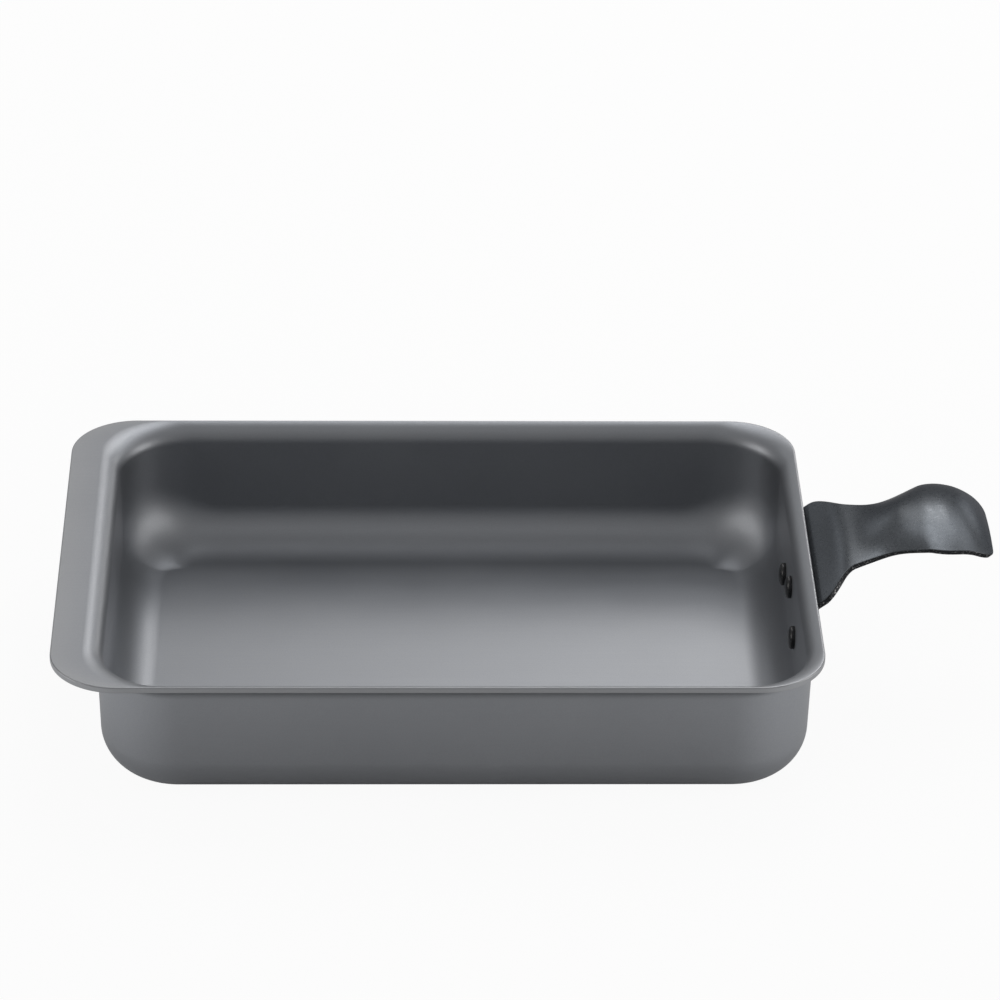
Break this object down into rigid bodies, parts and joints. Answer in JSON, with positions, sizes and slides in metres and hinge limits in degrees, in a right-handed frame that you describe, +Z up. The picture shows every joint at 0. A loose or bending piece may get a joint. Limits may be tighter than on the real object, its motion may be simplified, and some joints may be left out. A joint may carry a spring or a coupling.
{
  "type": "grill pan",
  "caption": "Shallow rectangular pressed-sheet grill pan with round corners, a wide grip ledge on one end of its rim and a short stamped handle riveted to the other end wall.",
  "frame": {"origin": "centre of the pan's well, on the flat underside of the base that it stands on", "axes": "+X along the pan towards the handle, +Y across the pan, +Z up out of the well"},
  "size_m": [0.3223, 0.185, 0.0653],
  "materials": {
    "pan_sheet": "hard-anodised satin grey aluminium sheet, fine even grain, soft reflections",
    "handle_coating": "matt black coated steel, slightly worn along its cut edges",
    "rivet": "black coated rivet with a soft shine on its dome"
  },
  "bodies": {
    "root": {"pan_body": "pan_sheet", "handle": "handle_coating", "rivet_upper": "rivet", "rivet_lower_front": "rivet", "rivet_lower_rear": "rivet"}
  },
  "joints": []
}
